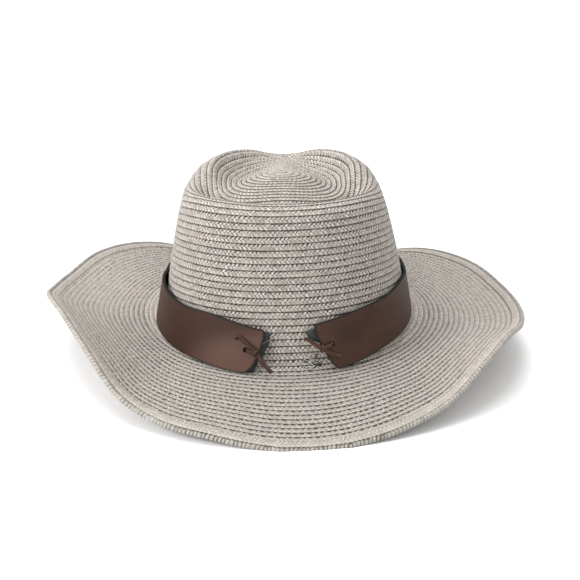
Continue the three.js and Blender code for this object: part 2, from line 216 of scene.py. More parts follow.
def hatPoint(angle, row):
    # outer surface by rows of braid: the crown, the rounded corner, then the brim up to the rim
    angle, row = np.broadcast_arrays(np.asarray(angle, float), np.asarray(row, float))
    join, width = joinRow(angle), brimWidth(angle)
    cornerShare = hat["cornerReach"] / width
    rimShare = 1 - (hat["rimWidth"] + hat["gap"]) / width
    first = join - hat["cornerReach"] / hat["rowPitch"]
    last = join + (hat["rimRow"] - join) * cornerShare / rimShare
    t = np.clip((row - first) / (last - first), 0, 1)[..., None]
    corner = (1 - t) ** 2 * crownPoint(angle, first) + 2 * t * (1 - t) * crownPoint(angle, join) \
        + t * t * brimPoint(angle, cornerShare)
    onBrim = brimPoint(angle, rimShare * (row - join) / (hat["rimRow"] - join))
    point = np.where((row < first)[..., None], crownPoint(angle, row), corner)
    return np.where((row > last)[..., None], onBrim, point)


def hatNormal(angle, row):
    angle, row = np.broadcast_arrays(np.asarray(angle, float), np.asarray(row, float))
    stepAngle, stepRow = 0.4, 0.1
    down = hatPoint(angle, row + stepRow) - hatPoint(angle, np.maximum(row - stepRow, 0))
    across = hatPoint(angle + stepAngle, row) - hatPoint(angle - stepAngle, row)
    normal = np.cross(down, across)
    normal[row < 0.05] = (0, 0, 1)
    return normal / np.linalg.norm(normal, axis=-1, keepdims=True)


# mesh building
uvName = "across"


def meshPiece(name, points, faces, materials, uvs=None, faceMaterials=None, merge=0):
    mesh = bpy.data.meshes.new(name)
    mesh.from_pydata(np.asarray(points).tolist(), [], [list(face) for face in faces])
    if uvs is not None:
        layer = mesh.uv_layers.new(name=uvName)
        layer.data.foreach_set("uv", np.asarray(uvs, np.float32).ravel())
    for material in materials:
        mesh.materials.append(material)
    if faceMaterials is not None:
        mesh.polygons.foreach_set("material_index", np.asarray(faceMaterials, np.int32))
    if merge > 0:
        work = bmesh.new()
        work.from_mesh(mesh)
        bmesh.ops.remove_doubles(work, verts=work.verts, dist=merge)
        work.to_mesh(mesh)
        work.free()
    mesh.polygons.foreach_set("use_smooth", np.ones(len(mesh.polygons), bool))
    mesh.validate()
    piece = bpy.data.objects.new(name, mesh)
    bpy.context.scene.collection.objects.link(piece)
    return piece


def place(piece, slot, *nodes):
    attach(piece, "root")
    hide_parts(*nodes)


# shader building
class Field:
    # a socket of a material, for shader sums written as plain expressions
    def __init__(self, tree, socket=None):
        self.tree = tree
        self.socket = socket

    def node(self, kind, settings=None, inputs=None, output=0):
        made = self.tree.nodes.new(kind)
        for name, value in (settings or {}).items():
            setattr(made, name, value)
        for name, value in (inputs or {}).items():
            if isinstance(value, Field):
                self.tree.links.new(value.socket, made.inputs[name])
            else:
                made.inputs[name].default_value = value
        return Field(self.tree, made.outputs[output])

    def math(self, operation, *others, clamp=False):
        inputs = dict(enumerate([self, *others]))
        return self.node("ShaderNodeMath", {"operation": operation, "use_clamp": clamp}, inputs)

    def __add__(self, other):
        return self.math("ADD", other)

    def __sub__(self, other):
        return self.math("SUBTRACT", other)

    def __rsub__(self, other):
        return self.node("ShaderNodeMath", {"operation": "SUBTRACT"}, {0: other, 1: self})

    def __mul__(self, other):
        return self.math("MULTIPLY", other)

    def __truediv__(self, other):
        return self.math("DIVIDE", other)

    def __abs__(self):
        return self.math("ABSOLUTE")

    __radd__ = __add__
    __rmul__ = __mul__

    def floor(self):
        return self.math("FLOOR")

    def fract(self):
        return self.math("FRACT")

    def clamp(self):
        return self.math("ADD", 0.0, clamp=True)

    def step(self, low, high):
        # 0 below low, 1 above high, smooth between
        return self.node("ShaderNodeMapRange", {"interpolation_type": "SMOOTHSTEP"},
                         {"Value": self, "From Min": low, "From Max": high})

    def mix(self, first, second):
        # colours, by this factor
        inputs = {0: self, 6: colour(first), 7: colour(second)}
        return self.node("ShaderNodeMix", {"data_type": "RGBA"}, inputs, 2)

    def split(self):
        # the three numbers of this vector
        parts = self.node("ShaderNodeSeparateXYZ", {}, {0: self}).socket.node.outputs
        return [Field(self.tree, part) for part in parts]

    def onObject(self):
        # where the point is on its object, in metres
        return self.node("ShaderNodeTexCoord", {}, {}, 3)

    def onRow(self):
        # the way along and across that the mesh carries with it
        return self.node("ShaderNodeUVMap", {"uv_map": uvName}).split()

    def vector(self, x, y, z):
        return self.node("ShaderNodeCombineXYZ", {}, {0: x, 1: y, 2: z})

    def noise(self, where, scale, detail=2.0, roughness=0.5):
        return self.node("ShaderNodeTexNoise", {"noise_dimensions": "3D"},
                         {"Vector": where, "Scale": scale, "Detail": detail, "Roughness": roughness})

    def chance(self, where):
        # one random number for each whole-numbered place
        return self.node("ShaderNodeTexWhiteNoise", {"noise_dimensions": "3D"}, {"Vector": where})


def colour(value):
    return value if isinstance(value, Field) else (*value, 1)


def newMaterial(name, settings):
    # a fresh material with one shader; settings are the values that are the same all over
    material = bpy.data.materials.new(name)
    material.use_nodes = True
    tree = material.node_tree
    tree.nodes.clear()
    shader = tree.nodes.new("ShaderNodeBsdfPrincipled")
    for socket, value in settings.items():
        shader.inputs[socket].default_value = value
    output = tree.nodes.new("ShaderNodeOutputMaterial")
    tree.links.new(shader.outputs[0], output.inputs[0])
    return material, shader, Field(tree)


def finishMaterial(shader, field, links, height=None, bumpDistance=0.0, bumpStrength=1.0):
    if height is not None:
        links = {**links, "Normal": field.node("ShaderNodeBump", {}, {
            "Height": height, "Distance": bumpDistance, "Strength": bumpStrength})}
    for socket, value in links.items():
        field.tree.links.new(value.socket, shader.inputs[socket])


# straw: slanted strands that meet in the middle of each row, with dark slits between them
strawLook = {
    "strandPitch": 2.9,        # millimetres along the row
    "slant": 0.42,             # how far a strand leans, in pitches
    "pale": (0.46, 0.42, 0.382),
    "middle": (0.285, 0.258, 0.233),
    "dull": (0.155, 0.139, 0.122),
    "gap": (0.022, 0.019, 0.015),
    "slit": 0.95,              # darkness of the slits between strands
    "dot": 0.8,                # darkness of the dots where strands cross
    "line": 0.22,              # painted shadow line under the edge of the row above, as a share of the row
    "dashPitch": 2.9,          # millimetres between the dashes of that line
    "dash": 0.68,              # how much darker its dashes are than the rest
    "dashShort": 0.35,         # the less, the shorter the dashes
    "lip": 0.4,                # painted highlight along the row's lower edge: how pale it is
    "patch": 0.32,             # strength of the tinted patches
    "fibre": 0.45,
    "glint": (0.66, 0.63, 0.59),
    "glints": 0.6,             # how strong the palest specks are
    "sideLightFade": 0.38,          # painted light: how much fainter the dark marks and painted row shadows are at the hat's sides
    "sideLightFrom": 0.05,          # metres from the middle
    "sideLightTo": 0.085,
    "pinkish": (0.32, 0.265, 0.24),
    "greenish": (0.25, 0.25, 0.20),
    "bump": 0.0004,
}


def rowShadowLine(field, look, along, row, f, wander):
    # painted shadow under the edge of the row above, in dashes
    dashPlace = along / look["dashPitch"] + field.chance(field.vector(row, 3.0, 1.0)) * 7.0 + wander
    dashRoll = field.chance(field.vector(dashPlace.floor(), row, 9.0))
    dash = 1.0 - abs(dashPlace.fract() * 2.0 - 1.0).step(look["dashShort"] + dashRoll * 0.3, 0.9)
    lineEnd = look["line"] * (0.7 + dashRoll * 0.6)
    return (1.0 - (f / lineEnd).step(0.45, 1.35)) * (1.0 - look["dash"] + dash * look["dash"])


def tintedPatches(field, look, along, across, strand):
    patch = field.noise(field.vector(along / 26.0, across / 2.0, 0.0), 1.0, 2.0)
    otherPatch = field.noise(field.vector(along / 21.0, across / 1.6, 7.0), 1.0, 2.0)
    strand = (patch.step(0.52, 0.66) * look["patch"]).mix(strand, look["pinkish"])
    return (otherPatch.step(0.55, 0.66) * look["patch"]).mix(strand, look["greenish"])


def strawMaterial(name, look):
    material, shader, field = newMaterial(name, {"Roughness": 0.8, "Specular IOR Level": 0.25})
    along, across, _ = field.onRow()
    row = across.floor()
    f = across - row
    wander = field.noise(field.vector(along / 9.0, row * 3.7, 0.0), 1.0, 1.0) - 0.5
    half = f.math("GREATER_THAN", 0.5)
    lean = abs(f * 2.0 - 1.0)
    count = along / look["strandPitch"] - lean * look["slant"] + half * 0.5 + wander * 1.1
    cell = count.floor()
    side = abs((count - cell) * 2.0 - 1.0)
    tone = field.chance(field.vector(cell, row, half))
    second = field.chance(field.vector(cell + 31.0, row, half + 2.0))

    # slits, strong in the upper half of the row and fading towards its lower edge
    slit = (side + second * 0.3).step(0.62, 1.05) * (0.5 + second * 0.5)
    slit = slit * (1.0 - f.step(0.35, 0.95) * 0.5) * look["slit"]
    middle = 1.0 - (lean / 0.34).step(0.3, 1.0)
    dot = side.step(0.45, 0.8) * middle * (tone * 1.5 - 0.3).clamp() * look["dot"]
    line = rowShadowLine(field, look, along, row, f, wander)
    # painted shade on the step down to the next row
    stepShade = f.step(0.955, 0.99)
    dark = slit.math("MAXIMUM", dot).math("MAXIMUM", line).math("MAXIMUM", stepShade * 0.8)
    dark = dark * (0.55 + across.step(1.0, 6.0) * 0.45)      # painted light: dark marks fainter in the middle of the top, where the top light washes them out
    # painted light: the dark marks painted fainter towards the hat's sides
    sideways = field.onObject().split()[0]
    dark = dark * (1.0 - abs(sideways).step(look["sideLightFrom"], look["sideLightTo"]) * look["sideLightFade"])

    # strands of several tones, with pale and dull fibres, a painted highlight along the row's lower edge
    # and a few painted glints
    fibres = field.noise(field.vector(along * 1.3, across * 11.0, count * 2.0), 2.0, 3.0, 0.65)
    strand = tone.mix(look["dull"], look["pale"])
    strand = (0.35 + second * 0.3).mix(strand, look["middle"])
    strand = (fibres.step(0.5, 0.72) * look["fibre"]).mix(strand, look["pale"])
    strand = ((1.0 - fibres.step(0.28, 0.45)) * look["fibre"]).mix(strand, look["dull"])
    strand = tintedPatches(field, look, along, across, strand)
    # painted highlight along the row's lower edge
    lip = f.step(0.72, 0.86) * (1.0 - stepShade) * (0.4 + side * 0.6) * look["lip"]
    strand = lip.mix(strand, look["pale"])
    glint = (fibres + second * 0.25).step(0.64, 0.80) * (1.0 - side.step(0.2, 0.9)) * look["glints"]
    strand = glint.mix(strand, look["glint"])
    height = (1.0 - dark) * 0.75 + fibres * 0.15
    finishMaterial(shader, field, {"Base Color": dark.mix(strand, look["gap"])}, height, look["bump"], 0.8)
    return material


straw = strawMaterial("straw", strawLook)
brimLook = {
    **strawLook,
    "pale": (0.375, 0.343, 0.313), "middle": (0.295, 0.27, 0.245), "dull": (0.19, 0.172, 0.154),
    "glints": 0.3, "slit": 0.6, "dot": 0.6, "line": 0.33, "dashPitch": 4.1, "dash": 0.8, "dashShort": 0.15,
    "lip": 0.3, "sideLightFade": 0.5, "sideLightFrom": 0.085, "sideLightTo": 0.14,
}
brimStraw = strawMaterial("brimStraw", brimLook)
rimLook = {
    **strawLook,
    "pale": (0.385, 0.353, 0.318), "middle": (0.31, 0.284, 0.256), "dull": (0.21, 0.191, 0.169),
    "glints": 0.2, "strandPitch": 2.8, "slant": 0.7, "slit": 0.9, "dot": 0.9, "line": 0.10,
}
rimStraw = strawMaterial("rimStraw", rimLook)
rollLook = {
    **strawLook,
    "pale": (0.34, 0.32, 0.29), "middle": (0.31, 0.29, 0.262), "dull": (0.26, 0.243, 0.219),
    "glints": 0, "strandPitch": 2.6, "slant": 0.8, "slit": 0.9, "dot": 0, "line": 0.10, "lip": 0,
}
rollStraw = strawMaterial("rollStraw", rollLook)
print("straw mixed")

# one row of braid across: share of the row and height over the even surface
braid = {
    "columns": 440,
    "profile": [(0.02, -0.00030), (0.35, 0.00010), (0.78, 0.00034), (0.965, 0.00020)],
    "brimProfile": [(0.02, -0.00018), (0.35, 0.00006), (0.78, 0.00020), (0.965, 0.00012)],
    "insideProfile": [(0.04, -0.0003), (0.92, 0.0003)],
    "crownRows": 44,           # rows up to the seam between the two meshes, in the corner
    "merge": 0.00002,
}


def rowLengths(columns, firstRow, lastRow):
    # millimetres along the spiral, measured on the middle of each row and carried on to the next
    angles = np.linspace(-180, 180, columns + 1)
    lengths, total = {}, 0.0
    for row in range(lastRow, firstRow - 1, -1):
        path = np.clip(row + 0.5 - angles / 360, 0, hat["rimRow"])
        points = hatPoint(angles, path)
        steps = np.linalg.norm(np.diff(points, axis=0), axis=1) * 1000
        lengths[row] = total + np.concatenate([[0], np.cumsum(steps)])
        total = lengths[row][-1]
    return lengths


def braidFace(firstRow, lastRow, columns, profile, depth, outer, start):
    # one side of the sewn braid between two rows; rows run on as a spiral past the front,
    # and climb to the right at the back
    angles = np.linspace(-180, 180, columns + 1)
    turns = angles / 360
    perRow = len(profile)
    rows = range(math.floor(firstRow) - 2, math.ceil(lastRow) + 3)
    lines = np.array([row + across for row in rows for across, _ in profile])
    begin = np.where(lines + 0.5 <= firstRow)[0][-1]
    end = np.where(lines - 0.5 >= lastRow)[0][0]
    lines = lines[begin:end + 1]
    path = np.clip(lines[:, None] - turns[None, :], firstRow, lastRow)
    phase = path + turns[None, :]
    xs = np.array([profile[-1][0] - 1] + [p[0] for p in profile] + [profile[0][0] + 1])
    ys = np.array([profile[-1][1]] + [p[1] for p in profile] + [profile[0][1]])
    rise = np.interp(phase - np.floor(phase), xs, ys)
    sign = 1 if outer else -1
    offset = depth + sign * rise
    grid = hatPoint(np.broadcast_to(angles, path.shape), path)
    grid = grid + hatNormal(np.broadcast_to(angles, path.shape), path) * offset[..., None]
    grid[..., 2] = np.maximum(0, grid[..., 2])
    points = grid[:, :columns].reshape(-1, 3)
    lengths = rowLengths(columns, math.floor(firstRow) - 3, math.ceil(lastRow) + 3)
    faces, uvs = [], []
    count = len(lines)
    for j in range(count - 1):
        along = lengths[math.floor(lines[j])]
        for i in range(columns):
            k = i + 1
            if k < columns:
                corners = [j * columns + i, (j + 1) * columns + i, (j + 1) * columns + k, j * columns + k]
            else:
                low, high = max(j - perRow, 0), max(j + 1 - perRow, 0)
                corners = [j * columns + i, (j + 1) * columns + i, high * columns, low * columns]
            places = [(along[i], phase[j, i]), (along[i], phase[j + 1, i]),
                      (along[k], phase[j + 1, k]), (along[k], phase[j, k])]
            if not outer:
                corners, places = corners[::-1], places[::-1]
            faces.append([corner + start for corner in corners])
            uvs.extend(places)
    firstLine = [start + i for i in range(columns)]
    lastLine = [start + (count - 1) * columns + i for i in range(columns)]
    return points, faces, uvs, firstLine, lastLine


def closeEdge(outerLine, innerLine, outward):
    # the cut edge between the outer and the inner side, which may have half as many columns
    faces = []
    many, few = len(outerLine), len(innerLine)
    ratio = many // few
    for i in range(few):
        a, b = innerLine[i], innerLine[(i + 1) % few]
        outs = [outerLine[(i * ratio + j) % many] for j in range(ratio + 1)]
        ringFaces = [[outs[0], a, b, outs[1]]] if ratio == 1 else [[outs[0], a, outs[1]], [outs[1], a, b],
                                                                   [outs[1], b, outs[2]]]
        faces.extend(face if outward else face[::-1] for face in ringFaces)
    return faces


def braidPiece(name, firstRow, lastRow, profile, innerColumns, innerProfile, material):
    points, faces, uvs, outFirst, outLast = braidFace(
        firstRow, lastRow, braid["columns"], profile, 0, True, 0)
    more, innerFaces, innerUvs, inFirst, inLast = braidFace(
        firstRow, lastRow, innerColumns, innerProfile, -hat["strawWall"], False, len(points))
    edges = closeEdge(outLast, inLast, True)
    if firstRow > 0:
        edges += closeEdge(outFirst, inFirst, False)
    allFaces = faces + innerFaces + edges
    allUvs = uvs + innerUvs + [(0, 0.5)] * sum(len(face) for face in edges)
    return meshPiece(name, np.concatenate([points, more]), allFaces, [material], allUvs,
                     merge=braid["merge"])


crown = braidPiece("crown", 0, braid["crownRows"], braid["profile"], braid["columns"] // 2,
                   braid["insideProfile"], straw)
place(crown, "straw", "straw_body")
print("crown sewn")
brim = braidPiece("brim", braid["crownRows"], hat["rimRow"], braid["brimProfile"], braid["columns"],
                  braid["brimProfile"], brimStraw)
place(brim, "straw", "straw_body")
print("brim sewn")

# rim: the doubled last row, a flat band and a rolled edge
rim = {
    "bandShare": 0.60,
    "lip": 0.07,               # how far the band laps over the row before it
    # round the rim from its inner side: share of the width, and height in thicknesses
    "section": [(0, -0.5), (0, -0.02), (-0.07, 0.08), (-0.05, 0.12), (0.1, 0.13), (0.26, 0.10),
                (0.42, 0.12), (0.53, 0.08), (0.60, -0.05), (0.68, 0.03), (0.82, 0.04), (0.95, -0.08),
                (1.0, -0.35), (1.0, -0.65), (0.92, -0.93), (0.75, -1.0), (0.4, -0.98), (0.1, -0.92),
                (0, -0.75)],
    "bandFaces": 8,            # faces of the section that show the band, the rest is the roll
    "rollRow": 7,              # row of the straw's pattern that the roll shows
    "rollFaces": 22,           # faces that would show the whole of it
    # end of the braid at the back: by degrees, how far the edge stands out
    "endDegrees": [-3.5, -1.4, 1.5, 3.0, 6.5, 11.5, 13.5, 16.0],
    "endBulge": [0, 0.0010, 0.0001, 0.0001, 0, 0, 0.0008, 0],
}


def rimBraid():
    columns = braid["columns"]
    angles = np.linspace(-180, 180, columns + 1)
    width = brimWidth(angles)
    inner, outer = brimPoint(angles, 1 - hat["rimWidth"] / width), brimPoint(angles, np.ones(columns + 1))
    out = outer - inner
    out /= np.linalg.norm(out, axis=1, keepdims=True)
    around = brimPoint(angles + 1, np.ones(columns + 1)) - brimPoint(angles - 1, np.ones(columns + 1))
    around /= np.linalg.norm(around, axis=1, keepdims=True)
    up = np.cross(out, around)
    lengths = np.concatenate([[0], np.cumsum(np.linalg.norm(np.diff(outer, axis=0), axis=1))]) * 1000
    outer = outer + out * np.interp(angles, rim["endDegrees"], rim["endBulge"])[:, None]
    width = np.linalg.norm(outer - inner, axis=1)[:, None]
    section = rim["section"]
    count = len(section)
    rings = np.stack([inner + out * across * width + up * deep * hat["rimThick"]
                      for across, deep in section], 1)
    rings[..., 2] = np.maximum(0, rings[..., 2])
    points = rings[:columns].reshape(-1, 3)
    faces, uvs, looks = [], [], []
    for i in range(columns):
        for j in range(count):
            band = j < rim["bandFaces"]
            k, nextJ = (i + 1) % columns, (j + 1) % count
            faces.append([i * count + j, i * count + nextJ, k * count + nextJ, k * count + j])
            if band:
                low, high = [min(0.95, (section[step][0] + rim["lip"]) / (rim["bandShare"] + rim["lip"]))
                             for step in (j, nextJ)]
            else:
                low, high = [rim["rollRow"] + (j + step - rim["bandFaces"]) / rim["rollFaces"]
                             for step in (0, 0.98)]
            here, there = lengths[i], lengths[i + 1]
            uvs.extend([(here, low), (here, high), (there, high), (there, low)])
            looks.append(0 if band else 1)
    return meshPiece("rim", points, faces, [rimStraw, rollStraw], uvs, looks)


place(rimBraid(), "rim_straw", "rim_braid")
print("rim sewn")

# leather
leatherLook = {
    "face": (0.054, 0.024, 0.0155),
    "shade": (0.030, 0.0135, 0.009),
    "worn": (0.080, 0.040, 0.027),
    # painted sheen, paler low down on the strap
    "sheenTone": (0.100, 0.053, 0.038),
    # painted shade, darker on the left of the strap
    "deep": (0.028, 0.0105, 0.0055),
    "cut": (0.009, 0.009, 0.008),
    # where the tones begin and end, in metres to the right of the middle
    "paintedShadeFrom": (-0.088, -0.074),
    "paintedShadeTo": (-0.02, 0.0),
    "sheenFrom": (-0.074, -0.042),
    "sheenTo": (-0.02, 0.01),
    "rightSheenFrom": (0.03, 0.05),
    "sheenBelow": (0.036, 15.0),   # the painted sheen's upper edge: metres to the left where it starts, and its rise
    # how much of each tone
    "paintedShadeShare": 0.75,
    "sheenShare": 0.7,
    "rightSheenShare": 0.15,
    # dark cut edges, with painted shadow along them
    "darkEdgeAndShadowShare": 0.85,
}
cutLook = {"face": leatherLook["cut"], "shade": (0.007, 0.006, 0.005), "worn": (0.020, 0.018, 0.015)}
thongLook = {"face": (0.062, 0.029, 0.020), "shade": (0.024, 0.012, 0.009), "worn": (0.12, 0.066, 0.047)}


def leatherSheenShadeAndEdges(field, look, where, face):
    # painted shade darker towards the left, a painted sheen paler low down by the left end and faintly low
    # on the right, and the dark cut edge with painted shadow along all edges
    x = where.split()[0]
    along, share, _ = field.onRow()
    # painted shade on the left
    left = x.step(*look["paintedShadeFrom"]) * (1.0 - x.step(*look["paintedShadeTo"]))
    face = (left * look["paintedShadeShare"]).mix(face, look["deep"])
    # painted sheen low down by the left end
    start, rise = look["sheenBelow"]
    low = 1.0 - (share - (x + start) * rise).step(0.4, 0.95)
    sheenMask = x.step(*look["sheenFrom"]) * (1.0 - x.step(*look["sheenTo"]))
    face = (sheenMask * low * look["sheenShare"]).mix(face, look["sheenTone"])
    # painted sheen, faint, low down on the right
    right = x.step(*look["rightSheenFrom"]) * (1.0 - share.step(0.2, 0.7))
    face = (right * look["rightSheenShare"]).mix(face, look["sheenTone"])
    # dark cut edges, with painted shadow along them
    sides = abs(share * 2.0 - 1.0).step(0.92, 0.99)
    tips = abs(along * 2.0 - 1.0).step(0.994, 0.999)
    return (sides.math("MAXIMUM", tips) * look["darkEdgeAndShadowShare"]).mix(face, look["cut"])


def leatherMaterial(name, look, roughness, grainScale, bump):
    material, shader, field = newMaterial(name, {"Roughness": roughness, "Specular IOR Level": 0.18})
    where = field.onObject()
    clouds = field.noise(where, 28.0, 3.0)
    specks = field.noise(where, 420.0, 2.0, 0.6)
    pores = field.node("ShaderNodeTexVoronoi", {"feature": "DISTANCE_TO_EDGE"},
                       {"Vector": where, "Scale": grainScale})
    face = clouds.step(0.3, 0.7).mix(look["shade"], look["face"])
    face = (specks.step(0.5, 0.75) * 0.35).mix(face, look["worn"])
    face = ((1.0 - pores.step(0.0, 0.12)) * 0.35).mix(face, look["shade"])
    if "sheenTone" in look:
        face = leatherSheenShadeAndEdges(field, look, where, face)
    height = pores.step(0.0, 0.3) * 0.7 + specks * 0.3
    finishMaterial(shader, field, {"Base Color": face}, height, bump, 0.6)
    return material


leather = leatherMaterial("leather", leatherLook, 0.52, 1500.0, 0.00012)
cutLeather = leatherMaterial("cutLeather", cutLook, 0.9, 2200.0, 0.0001)
thongLeather = leatherMaterial("thongLeather", thongLook, 0.6, 2600.0, 0.00012)

# strap round the crown, open at the back
strap = {
    "width": 0.032,
    "thick": 0.002,
    "hole": 0.0034,
    "foot": 0.0026,            # lower edge above the corner
    "standOff": 0.0045,        # how far it stands off the crown
    "raise": 0.004,            # most that its upper edge rises or falls against the even strap
    "left": {"end": 7.6, "slant": 5.5, "upperRound": 1.4, "lowerRound": 2.5},
    "right": {"end": 11.0, "slant": 7.2, "upperRound": 1.2, "lowerRound": 0.8},
    "steps": 300,
    "edgeRound": 0.0009,
    "drillPast": 0.002,        # how far the drill reaches past the strap on both sides
    "drillSides": 28,
}
strapNames = ["degrees", "foot", "footOff", "headOff", "raise"]
strapTable = [
    [-110, 0.5, 0.66, 0.3, -1.3], [-92, 0.4, 0.85, 0.3, -1.1], [-78, 0.38, 0.91, 0.6, -0.45],
    [-60, 0.35, 0.85, 0.65, -0.45], [-45, 0.35, 0.83, 0.7, -0.3], [-30, 0.35, 1.05, 0.78, 0.15],
    [-20, 0.1, 1.25, 0.8, -0.2], [-10, 0.1, 1.3, 0.8, -1.0], [12, 0.3, 0.9, 0.7, -0.3],
    [20, 0.5, 0.8, 0.7, 0.2], [30, 1.4, 0.5, 0.6, 0.25], [45, 2.4, 0.33, 0.55, -0.1],
    [60, 2.6, 0.3, 0.45, 0], [75, 2.2, 0.25, 0.4, -0.5], [90, 1.6, 0.3, 0.32, -1.0],
    [110, 1.2, 0.36, 0.32, -1.0], [140, 1.1, 0.44, 0.36, -1.1], [180, 1.0, 0.44, 0.42, -1.1],
    [205, 1.0, 0.5, 0.44, -1.1], [220, 0.8, 0.56, 0.42, -1.2],
]
strapCurve = columnCurves(strapNames, strapTable, roundCurve)
strapHoles = {"left": (-14.6, 0.49), "right": (17.1, 0.52)}


def strapPoint(angle, share, depth):
    # share across from the lower edge, depth outwards from the inner face
    angle, share = np.broadcast_arrays(np.asarray(angle, float), np.asarray(share, float))
    curve = {name: strapCurve[name](angle) for name in strapNames[1:]}
    join = joinRow(angle)
    footHeight = strap["foot"] * curve["foot"]
    headHeight = footHeight + strap["width"] + strap["raise"] * curve["raise"]
    foot = crownPoint(angle, join - footHeight / hat["rowPitch"])
    head = crownPoint(angle, join - headHeight / hat["rowPitch"])
    middle = crownPoint(angle, join - (footHeight + headHeight) / 2 / hat["rowPitch"])
    turn = np.radians(angle)
    off = strap["standOff"] * (curve["footOff"] * (1 - share) + curve["headOff"] * share)
    out = off + depth
    outwards = np.stack([np.sin(turn) * out, -np.cos(turn) * out,
                         hat["wallTilt"] * (off * share + depth)], -1)
    s = share[..., None]
    spine = foot * (1 - s) + head * s + (middle - (foot + head) / 2) * 4 * s * (1 - s)
    return spine + outwards


def endAngle(side, share):
    # degrees from the back to the end of the strap at a share of its width
    def arc(x):
        return 1 - np.sqrt(1 - np.clip(x, 0, 1) ** 2)
    end = strap[side]
    return end["end"] + end["slant"] * (1 - share) ** 1.6 + end["upperRound"] * arc((share - 0.88) / 0.12) \
        + end["lowerRound"] * arc((0.25 - share) / 0.25)


def drillHole(piece, side):
    angle, share = strapHoles[side]
    inner = strapPoint(angle, share, -strap["drillPast"])
    outer = strapPoint(angle, share, strap["thick"] + strap["drillPast"])
    axis = Vector(outer - inner)
    work = bmesh.new()
    bmesh.ops.create_cone(work, cap_ends=True, segments=strap["drillSides"], radius1=strap["hole"] / 2,
                          radius2=strap["hole"] / 2, depth=axis.length)
    mesh = bpy.data.meshes.new("drill")
    work.to_mesh(mesh)
    work.free()
    mesh.materials.append(leather)
    mesh.materials.append(cutLeather)
    mesh.polygons.foreach_set("material_index", np.ones(len(mesh.polygons), np.int32))
    drill = bpy.data.objects.new("drill", mesh)
    bpy.context.scene.collection.objects.link(drill)
    drill.rotation_mode = "QUATERNION"
    drill.rotation_quaternion = axis.to_track_quat("Z", "Y")
    drill.location = Vector((inner + outer) / 2)
    cut = piece.modifiers.new("hole", "BOOLEAN")
    cut.operation, cut.solver, cut.object = "DIFFERENCE", "EXACT", drill
    return drill


def applyModifiers(piece):
    bpy.context.view_layer.update()
    shaped = bpy.data.meshes.new_from_object(piece.evaluated_get(bpy.context.evaluated_depsgraph_get()))
    piece.modifiers.clear()
    old = piece.data
    piece.data = shaped
    shaped.name = piece.name
    bpy.data.meshes.remove(old)


def leatherStrap():
    shares = np.concatenate([[0, 0.01, 0.03, 0.07, 0.13, 0.2], np.linspace(0.28, 0.84, 8),
                             [0.89, 0.93, 0.965, 0.985, 1]])
    first, last = endAngle("right", shares), 360 - endAngle("left", shares)
    angles = first + (last - first) * np.linspace(0, 1, strap["steps"] + 1)[:, None]
    outer = strapPoint(angles, np.broadcast_to(shares, angles.shape), strap["thick"])
    inner = strapPoint(angles, np.broadcast_to(shares, angles.shape), 0.0)
    rings = np.concatenate([outer, inner[:, ::-1]], 1)
    count = rings.shape[1]
    half = len(shares)
    faces, looks = [], []
    for j in range(strap["steps"]):
        for i in range(count):
            k = (i + 1) % count
            faces.append([j * count + i, (j + 1) * count + i, (j + 1) * count + k, j * count + k])
            looks.append(0 if i < half - 1 else 1)
    end = strap["steps"] * count
    for i in range(half - 1):
        faces.append([i, i + 1, count - 2 - i, count - 1 - i])
        faces.append([end + count - 1 - i, end + count - 2 - i, end + i + 1, end + i])
        looks.extend([1, 1])
    across = np.concatenate([shares, shares[::-1]])
    uvs = [(corner // count / strap["steps"], across[corner % count]) for face in faces for corner in face]
    piece = meshPiece("strap", rings.reshape(-1, 3), faces, [leather, cutLeather], uvs, looks)
    drills = [drillHole(piece, side) for side in strapHoles]
    applyModifiers(piece)
    for drill in drills:
        bpy.data.objects.remove(drill)
    edgeRound = piece.modifiers.new("edgeRound", "BEVEL")
    edgeRound.width, edgeRound.segments = strap["edgeRound"], 2
    edgeRound.limit_method, edgeRound.angle_limit = "ANGLE", math.radians(50)
    applyModifiers(piece)
    return piece


band = leatherStrap()
place(band, "leather", "hat_band")
print("strap cut")

# thongs
lace = {
    "width": 0.0027,
    "thick": 0.0014,
    "loopShare": 0.85,         # width of the part from the hole to the knot
    "tailTwist": 50,           # degrees that a tail turns to its end
    "knotReach": 0.0019,
    "knotTurn": 400,           # degrees that the knot's wrap goes round
    "knotRun": 0.0022,
    "knotWidth": 0.0012,
    "knotThick": 0.0017,
}
# degrees from the back, share across the strap, metres over its outer face
lacePaths = {
    "left": {
        "loop": [[-14.2, 0.493, -0.0022], [-13.9, 0.493, 0.0010], [-12.4, 0.482, 0.0026],
                 [-10.3, 0.465, 0.0022]],
        "upperTail": [[-10.3, 0.465, 0.0022], [-13.0, 0.614, 0.0022], [-15.4, 0.694, 0.0016],
                      [-17.2, 0.740, 0.0012], [-18.3, 0.686, 0.0011]],
        "lowerTail": [[-10.3, 0.465, 0.0022], [-8.7, 0.343, 0.0024], [-7.0, 0.193, 0.0024],
                      [-5.0, 0.067, 0.0030]],
    },
    "right": {
        "loop": [[17.1, 0.52, -0.0022], [16.9, 0.53, 0.0010], [14.9, 0.506, 0.0026], [12.9, 0.487, 0.0024]],
        "upperTail": [[12.9, 0.487, 0.0024], [10.8, 0.591, 0.0022], [8.8, 0.692, 0.0016],
                      [6.9, 0.770, 0.0010]],
        "lowerTail": [[12.9, 0.487, 0.0024], [15.0, 0.402, 0.0024], [17.6, 0.311, 0.0014],
                      [19.9, 0.258, 0.0012]],
    },
}


def smoothPath(points, steps):
    # Catmull-Rom through the points
    points = np.array(points, float)
    ends = np.concatenate([[2 * points[0] - points[1]], points, [2 * points[-1] - points[-2]]])
    at = np.linspace(0, len(points) - 1, steps + 1)
    i = np.minimum(at.astype(int), len(points) - 2)
    t = (at - i)[:, None]
    a, b, c, d = ends[i], ends[i + 1], ends[i + 2], ends[i + 3]
    bend, twist = 2 * a - 5 * b + 4 * c - d, 3 * b - a - 3 * c + d
    return 0.5 * (2 * b + (c - a) * t + bend * t * t + twist * t ** 3)


